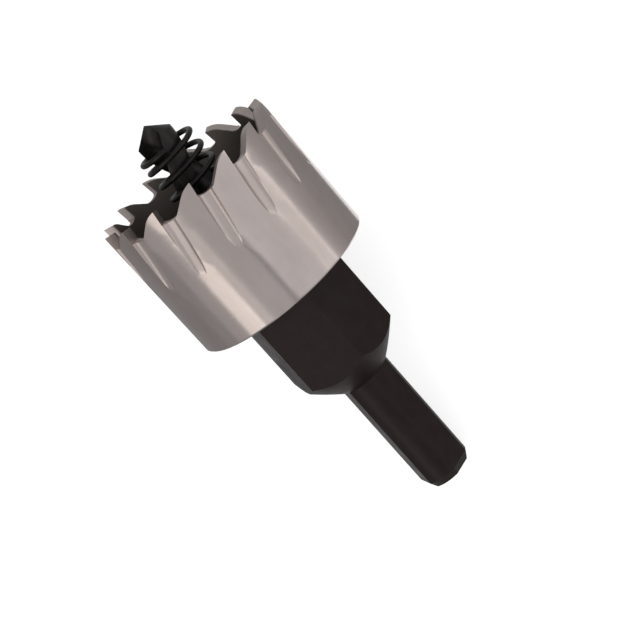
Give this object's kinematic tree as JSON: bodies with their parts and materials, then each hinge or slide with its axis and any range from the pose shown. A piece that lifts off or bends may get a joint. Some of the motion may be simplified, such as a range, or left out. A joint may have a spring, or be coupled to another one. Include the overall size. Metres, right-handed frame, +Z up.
{
  "type": "cup cutter",
  "caption": "Toothed steel cup cutter with a centre drill, an ejector spring and a flatted shank, lying at rest.",
  "frame": {"origin": "middle of the bounding box in plan, on the surface that the tool lies on", "axes": "+Z up from that surface; +X level, from the drill's tip towards the shank's end; the tool's own axis lies in the XZ plane with its tip raised about 16.1 degrees"},
  "size_m": [0.0798, 0.035, 0.0406],
  "materials": {
    "bright_steel": "satin",
    "black_arbor": "satin",
    "black_drill": "satin",
    "black_wire": "gloss",
    "black_screw": "satin"
  },
  "bodies": {
    "root": {"cutter_cup": "bright_steel", "arbor": "black_arbor", "pilot_drill": "black_drill", "ejector_spring": "black_wire", "set_screw": "black_screw"}
  },
  "joints": []
}
